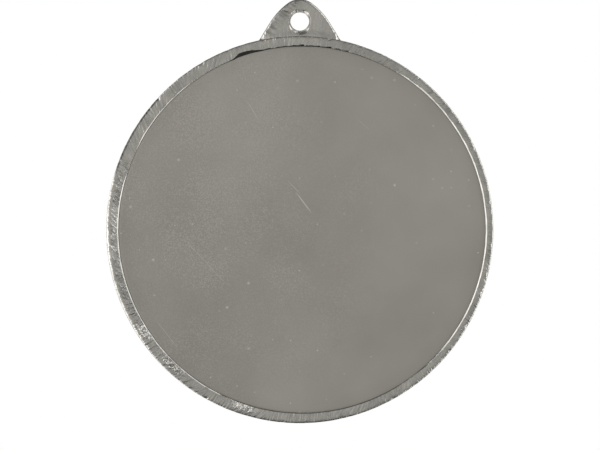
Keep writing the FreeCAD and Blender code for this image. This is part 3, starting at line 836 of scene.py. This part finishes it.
def draw_lug_outline(mesh, depth):
    """The lug's outline at one depth: straight flanks, wide shoulders, and the tip round the bore."""
    height = LUG_TIP_HEIGHT - LUG_FOOT_HEIGHT
    flank_normal = math.pi / 2 - LUG_FLANK_SLOPE
    across = LUG_FOOT_HALF_WIDTH * math.cos(flank_normal) - height * math.sin(flank_normal)
    bridge = LUG_SHOULDER_RADIUS - LUG_TIP_RADIUS
    joint = flank_normal + math.acos((LUG_SHOULDER_RADIUS - across) / bridge)
    tip = DISC_CENTRE + Vector((0, depth, LUG_TIP_HEIGHT))
    foot = DISC_CENTRE + Vector((LUG_FOOT_HALF_WIDTH, depth, LUG_FOOT_HEIGHT))
    right_centre = tip - bridge * Vector((math.cos(joint), 0, math.sin(joint)))
    left_centre = tip - bridge * Vector((-math.cos(joint), 0, math.sin(joint)))
    flank_direction = Vector((math.cos(flank_normal), 0, math.sin(flank_normal)))
    pen = Pen(mesh, foot)
    first = pen.tip
    turn = -AXIS
    pen.run(right_centre + LUG_SHOULDER_RADIUS * flank_direction, 24)
    pen.arc(right_centre, turn, joint - flank_normal, 24)
    pen.arc(tip, turn, math.pi - 2 * joint, 24)
    pen.arc(left_centre, turn, joint - flank_normal, 24)
    pen.run(Vector((-foot.x, foot.y, foot.z)), 24)
    pen.run(foot, 40)
    bmesh.ops.pointmerge(mesh, verts=[first, pen.tip], merge_co=first.co)


def add_lug(blank):
    """The lug: its outline and bore bridged into a plate, with rounded edges and hand-opened bore mouths."""
    mesh = bmesh.new()
    half = LUG_THICKNESS / 2
    draw_lug_outline(mesh, -half)
    outline = mesh.edges[:]
    place = Matrix.Translation((0, -half, 0)) @ UPRIGHT
    ring = bmesh.ops.create_circle(mesh, segments=len(outline), radius=MOUTH_ZONE, matrix=place)["verts"]
    edges = [edge for edge in mesh.edges if all(vert in ring for vert in edge.verts)]
    bmesh.ops.bridge_loops(mesh, edges=outline + edges)
    step = (MOUTH_ZONE - BORE_RADIUS) / MOUTH_RINGS
    for index in range(MOUTH_RINGS):
        shrink = 1 - step / (MOUTH_ZONE - step * index)
        made = bmesh.ops.extrude_edge_only(mesh, edges=edges)["geom"]
        edges = edges_in(made)
        bmesh.ops.scale(mesh, verts=verts_in(made), vec=(shrink, 1, shrink))
    extruded = bmesh.ops.extrude_face_region(mesh, geom=mesh.faces[:])["geom"]
    bmesh.ops.translate(mesh, verts=verts_in(extruded), vec=AXIS * LUG_THICKNESS)
    bmesh.ops.recalc_face_normals(mesh, faces=mesh.faces)
    round_lug_edges(mesh, half)
    work_lug_face(mesh, half)
    data = bpy.data.meshes.new("lug")
    mesh.to_mesh(data)
    mesh.free()
    blank.from_mesh(data)
    bpy.data.meshes.remove(data)


def round_lug_edges(mesh, half):
    """Bevels the outline's edges round, then divides the faces between them and the bore's mouths."""
    outline = []
    for edge in mesh.edges:
        low, high = (vert.co for vert in edge.verts)
        level = abs(abs(low.y) - half) < CLOSE and abs(low.y - high.y) < CLOSE
        outside = math.hypot(low.x, low.z) > MOUTH_ZONE + 0.01
        if level and outside and edge.calc_face_angle() > math.radians(60):
            outline.append(edge)
    bmesh.ops.bevel(
        mesh, geom=outline, offset=LUG_ROUND, segments=6, profile=0.5, affect="EDGES", material=-1,
    )
    spokes = []
    for edge in mesh.edges:
        near, far = sorted(math.hypot(vert.co.x, vert.co.z) for vert in edge.verts)
        level = all(abs(abs(vert.co.y) - half) < CLOSE for vert in edge.verts)
        if level and abs(near - MOUTH_ZONE) < 0.01 and far > MOUTH_ZONE + 0.05:
            spokes.append(edge)
    bmesh.ops.subdivide_edges(mesh, edges=spokes, cuts=12, use_grid_fill=True)


def mouth_depth(across, up):
    """How deep the bore's mouth is sunk: a narrow step all round, two scrapes above it, a wide step below."""
    beyond = math.hypot(across, up) - BORE_RADIUS
    angle = math.degrees(math.atan2(up, across))
    scraped = max(band(angle, 39, 70, 9), band(angle, 106, 136, 9))
    below = band(angle, 252, 312, 36)
    ledge = 0.26 * (1 - scraped)
    width = 0.33 + 0.15 * scraped + 0.2 * hump(angle, 226, 18) + 0.42 * below
    return WALL_SLOPE * max(width - max(beyond, ledge), 0)


def work_lug_face(mesh, half):
    """Opens the bore's mouths, dents the reverse corners, swells the foot and files the left edge."""
    flank = Vector((math.cos(LUG_FLANK_SLOPE), 0, math.sin(LUG_FLANK_SLOPE)))
    for vert in mesh.verts:
        place = vert.co.copy()
        facing = math.copysign(1, place.y)
        on_face = abs(abs(place.y) - half) < CLOSE
        if on_face and math.hypot(place.x, place.z) < MOUTH_ZONE:
            vert.co.y -= facing * mouth_depth(place.x, place.z)
        from_corner = math.hypot(abs(place.x) - LUG_CORNER.x, place.z - LUG_CORNER.z)
        vert.co.y += 0.8 * max(LUG_CORNER_REACH - from_corner, 0) * max(-place.y / half, 0)
        if on_face:
            from_edge = place.x + LUG_CORNER.x - 0.86 * (place.z - LUG_CORNER.z)
            at_edge = 1 - ramp(from_edge, 0.7, 2.6)
            stroke = noise.noise(Vector((place.dot(flank) * 1.6, place.x * 0.25, 2.2)))
            at_foot = 1 - ramp(polar(place)[0], DISC_RADIUS - 0.2, DISC_RADIUS + 1.3)
            swell = 0.15 * at_foot * ramp(from_corner, 0.6, 2)
            vert.co.y += facing * swell + 0.2 * at_edge * stroke + 0.02 * noise.noise(place * 0.8)


# ---- the wreath ----

def leaf_half_width(share):
    return LEAF_HALF_WIDTH * math.sin(math.pi * share ** 0.9) ** 0.85


def leaf_height(share, side):
    """Two rounded halves either side of a sunk midrib, with slanting side veins."""
    halves = 0.6 * (1 - side * side) + 0.4 * math.sin(math.pi * abs(side))
    midrib = 0.28 * math.exp(-((side / 0.13) ** 2))
    veins = 0.05 * math.cos(math.tau * (7 * share - 1.6 * abs(side))) * math.sin(math.pi * abs(side))
    return LEAF_HEIGHT * math.sin(math.pi * share) ** 0.4 * (halves - midrib + veins)


def add_leaf(mesh, angle, tilt, mirrored):
    """One laurel leaf, shaped from a grid, with its root on the stem at angle, pointing up the branch."""
    length_cuts, width_cuts = 28, 12
    grid = bmesh.ops.create_grid(mesh, x_segments=length_cuts, y_segments=width_cuts, size=0.5)["verts"]
    inside = set(grid)
    for vert in grid:
        share = min(max(vert.co.x + 0.5, 0.0), 1.0)
        side = 2 * vert.co.y
        lift = leaf_height(share, side) if 0 < share < 1 else 0
        sideways = side * leaf_half_width(share) if 0 < share < 1 else 0
        sideways += math.copysign(LEAF_BEND, tilt) * share * share * (1 - share) if tilt else 0
        vert.co = Vector((share * LEAF_LENGTH, sideways, max(lift, 0.02)))
    rim = [edge for edge in mesh.edges if edge.verts[0] in inside and edge.is_boundary]
    everything = grid + close_below(mesh, rim, 2, -SINK)
    bmesh.ops.remove_doubles(mesh, verts=everything, dist=0.0005)
    everything = [vert for vert in everything if vert.is_valid]
    turn = math.radians(angle)
    outward = -ROOT_OFFSET if tilt > 0 else ROOT_OFFSET
    root = (STEM_RADIUS + outward) * Vector((math.cos(turn), 0, math.sin(turn)))
    heading = turn + math.pi / 2 + math.radians(tilt)
    along = Vector((math.cos(heading), 0, math.sin(heading)))
    sideways = Vector((-along.z, 0, along.x))
    flip = -1 if mirrored else 1
    for vert in everything:
        place = root + along * vert.co.x + sideways * vert.co.y
        vert.co = Vector((flip * place.x, FRONT_FIELD + vert.co.z, DISC_CENTRE.z + place.z))


def add_stem(mesh):
    """The half-round stem of both branches, running under the emblem; the mesh is still empty."""
    centre = Vector((0, FRONT_FIELD - SINK, DISC_CENTRE.z - STEM_RADIUS))
    low = centre - Vector((0, 0, STEM_HALF_WIDTH))
    pen = Pen(mesh, low)
    first = pen.tip
    pen.arc(centre, (1, 0, 0), math.pi, 8)
    pen.run(low)
    bmesh.ops.pointmerge(mesh, verts=[first, pen.tip], merge_co=low)
    half_sweep = math.radians(90 + STEM_END)
    bmesh.ops.rotate(mesh, verts=mesh.verts, cent=DISC_CENTRE, matrix=Matrix.Rotation(-half_sweep, 3, AXIS))
    bmesh.ops.spin(
        mesh, geom=mesh.verts[:] + mesh.edges[:], cent=DISC_CENTRE, axis=AXIS, angle=2 * half_sweep,
        steps=180, use_merge=False, use_duplicate=False,
    )
    bmesh.ops.holes_fill(mesh, edges=[edge for edge in mesh.edges if edge.is_boundary], sides=0)


def add_tie(mesh):
    """The cord bound round both stems where they meet, as rounded turns side by side."""
    grid = bmesh.ops.create_grid(mesh, x_segments=72, y_segments=16, size=0.5)["verts"]
    inside = set(grid)
    for vert in grid:
        along, side = vert.co.x * TIE_LENGTH, 2 * vert.co.y
        turns = 0.84 + 0.16 * math.cos(math.tau * (TIE_TURNS * vert.co.x + 0.22 * side))
        ends = (1 - (2 * vert.co.x) ** 8) ** 0.5
        height = TIE_HEIGHT * math.sqrt(max(1 - side * side, 0)) * turns * ends
        half_width = TIE_HALF_WIDTH * (0.9 + 0.1 * turns)
        vert.co = Vector((along, FRONT_FIELD + max(height, 0.01), side * half_width))
    rim = [edge for edge in mesh.edges if edge.verts[0] in inside and edge.is_boundary]
    low = close_below(mesh, rim, 1, FRONT_FIELD - SINK)
    bmesh.ops.translate(mesh, verts=grid + low, vec=DISC_CENTRE - Vector((0, 0, STEM_RADIUS)))


def make_wreath(materials):
    mesh = bmesh.new()
    add_stem(mesh)
    add_tie(mesh)
    for mirrored in (False, True):
        for tilt in LEAF_TILTS:
            for index in range(LEAVES_PER_ROW):
                angle = BRANCH_START + BRANCH_SPREAD * index / (LEAVES_PER_ROW - 1)
                add_leaf(mesh, angle, tilt, mirrored)
        add_leaf(mesh, STEM_END, 0, mirrored)
    bmesh.ops.recalc_face_normals(mesh, faces=mesh.faces)
    return finish_piece(mesh, "laurel_wreath", "medal_casting", materials)


# ---- the plate and the emblem ----

def make_plate(materials):
    """The engraving plate, with a softly broken edge."""
    mesh = bmesh.new()
    edge_round = 0.03
    pen = Pen(mesh, section_point(0, PLATE_BACK))
    pen.run(section_point(PLATE_RADIUS, PLATE_BACK), 4)
    pen.run(section_point(PLATE_RADIUS, PLATE_FACE + edge_round), 1)
    pen.arc(section_point(PLATE_RADIUS - edge_round, PLATE_FACE + edge_round), (0, 0, -1), math.pi / 2, 3)
    pen.run(section_point(0, PLATE_FACE), 40)
    spin_section(mesh, 360)
    bmesh.ops.translate(mesh, verts=mesh.verts, vec=(RECESS_SHIFT, 0, 0))
    return finish_piece(mesh, "engraving_plate_face", "engraving_plate", materials)


def add_star(mesh):
    """A star whose ridges rise to its middle, standing up from the emblem's ground."""
    place = Matrix.Translation((0, EMBLEM_FACE, DISC_CENTRE.z)) @ UPRIGHT
    made = bmesh.ops.create_circle(
        mesh, cap_ends=True, segments=2 * STAR_POINTS, radius=STAR_TIP_RADIUS, matrix=place,
    )["verts"]
    notches = [vert for vert in made if math.cos(math.radians(STAR_POINTS * (polar(vert.co)[1] - 90))) < 0]
    share = STAR_NOTCH_RADIUS / STAR_TIP_RADIUS
    bmesh.ops.scale(mesh, verts=notches, vec=(share, 1, share), space=Matrix.Translation(-DISC_CENTRE))
    middle = bmesh.ops.poke(mesh, faces=made[0].link_faces[:])["verts"][0]
    middle.co.y += STAR_HEIGHT
    ridges = list(middle.link_edges)
    outline = [edge for edge in mesh.edges if edge.is_boundary and all(vert in made for vert in edge.verts)]
    close_below(mesh, outline, 1, EMBLEM_FACE - SINK)
    bmesh.ops.translate(mesh, verts=made, vec=AXIS * STAR_STEP)
    bmesh.ops.bevel(mesh, geom=ridges, offset=0.05, segments=2, profile=0.5, affect="EDGES", material=-1)


def make_emblem(materials):
    """The stock emblem: a disc with a rounded polished border, fine rays, and a polished star."""
    mesh = bmesh.new()
    pen = Pen(mesh, section_point(0, EMBLEM_BACK))
    pen.run(section_point(EMBLEM_RADIUS, EMBLEM_BACK), 2)
    pen.run(section_point(EMBLEM_RADIUS, EMBLEM_FACE), 2)
    pen.arc(section_point(EMBLEM_RADIUS - EMBLEM_BORDER / 2, EMBLEM_FACE), (0, 0, 1), math.pi, 16)
    pen.run(section_point(0, EMBLEM_FACE), 20)
    spin_section(mesh, 720)
    outer = EMBLEM_RADIUS - EMBLEM_BORDER
    for vert in mesh.verts:
        radius, angle = polar(vert.co)
        if abs(vert.co.y - EMBLEM_FACE) < CLOSE and radius < outer - 0.1:
            reach = ramp(radius, 2.5, 4) * (1 - ramp(radius, outer - 0.9, outer - 0.3))
            vert.co.y += RAY_DEPTH * reach * (math.cos(math.radians(EMBLEM_RAYS * angle)) - 1) / 2
    add_star(mesh)
    bmesh.ops.recalc_face_normals(mesh, faces=mesh.faces)
    for face in mesh.faces:
        face.material_index = int(face.calc_center_median().y > EMBLEM_FACE + 0.01)
    return finish_piece(mesh, "emblem_star_disc", "emblem_disc", materials, smooth_angle=14)


# ---- stage, lights and camera ----

def make_world():
    """White behind the object; its reflections see a grey room that is uneven from side to side."""
    world = bpy.data.worlds.new("studio")
    bpy.context.scene.world = world
    world.use_nodes = True
    tree = world.node_tree
    tree.nodes.clear()
    coordinates = tree.nodes.new("ShaderNodeTexCoord")
    split = tree.nodes.new("ShaderNodeSeparateXYZ")
    join(tree, coordinates.outputs["Generated"], split.inputs["Vector"])
    side = stretch(tree, split.outputs["X"], -1, 1, 0, 1)
    before_reverse = grey_ramp(tree, side, GREYS_BEFORE_REVERSE)
    before_front = grey_ramp(tree, side, GREYS_BEFORE_FRONT)
    walls = tint(tree, stretch(tree, split.outputs["Y"], 0, 0.25, 0, 1), before_reverse, before_front)
    ceiling = tint(tree, stretch(tree, split.outputs["Z"], 0.2, 0.75, 0, 1), walls, CEILING_GREY)
    floor = tint(tree, stretch(tree, split.outputs["Z"], -0.7, -0.2, 1, 0), ceiling, FLOOR_GREY)
    room = tree.nodes.new("ShaderNodeBackground")
    join(tree, floor, room.inputs["Color"])
    white = tree.nodes.new("ShaderNodeBackground")
    white.inputs["Color"].default_value = (1, 1, 1, 1)
    rays = tree.nodes.new("ShaderNodeLightPath")
    mix = tree.nodes.new("ShaderNodeMixShader")
    join(tree, rays.outputs["Is Glossy Ray"], mix.inputs[0])
    join(tree, white.outputs[0], mix.inputs[1])
    join(tree, room.outputs[0], mix.inputs[2])
    output = tree.nodes.new("ShaderNodeOutputWorld")
    join(tree, mix.outputs[0], output.inputs["Surface"])


def make_softbox(name, place, size):
    """An upright rectangular softbox beside the medal, in metres, turned towards the line it hangs on."""
    light = bpy.data.lights.new(name, "AREA")
    light.shape = "RECTANGLE"
    light.size, light.size_y = size
    light.energy = SOFTBOX_WATTS
    holder = new_object(name, light)
    holder.location = place
    inwards = Vector((-place[0], -place[1], 0))
    holder.rotation_euler = inwards.to_track_quat("-Z", "Y").to_euler()
    holder.visible_camera = False


def make_stage():
    """A pale floor well below the hanging medal."""
    mesh = bmesh.new()
    bmesh.ops.create_grid(mesh, x_segments=1, y_segments=1, size=FLOOR_SIZE)
    bmesh.ops.translate(mesh, verts=mesh.verts, vec=(0, 0, FLOOR_LEVEL))
    data = bpy.data.meshes.new("floor")
    mesh.to_mesh(data)
    mesh.free()
    floor = new_object("floor", data)
    material, _, shader = new_material("pale_floor", metallic=0.0)
    shader.inputs["Base Color"].default_value = (0.92, 0.92, 0.92, 1)
    shader.inputs["Roughness"].default_value = 0.9
    data.materials.append(material)
    floor.visible_glossy = False


def make_camera():
    """A long lens, square on to the reverse, a little above the disc's middle so that the lug just fits."""
    camera = bpy.data.cameras.new("camera")
    camera.sensor_width = 36
    camera.lens = camera.sensor_width * CAMERA_DISTANCE / VIEW_WIDTH
    camera.clip_start = 0.01
    holder = new_object("camera", camera)
    holder.location = DISC_CENTRE * MM + CAMERA_SHIFT - AXIS * CAMERA_DISTANCE
    holder.rotation_euler = (math.pi / 2, 0, 0)
    bpy.context.scene.camera = holder


def main():
    bpy.context.scene.view_settings.view_transform = "Standard"
    make_camera()
    make_world()
    make_stage()
    make_softbox("softbox_left", (-0.7, -0.2, -0.65), (0.7, 2.5))
    make_softbox("softbox_right", (0.7, -0.2, 0.03), (0.7, 2.9))
    relief = bright_relief()
    make_blank([cast_nickel(), stippled_ground(), relief, painted_gap_shadow()])
    make_wreath([relief])
    make_plate([satin_plate()])
    make_emblem([emblem_metal(), polished_emblem()])
    film = adhesive_film()
    for node in ("engraving_plate_tape", "emblem_tape"):
        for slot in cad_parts[node].material_slots:
            slot.material = film


main()
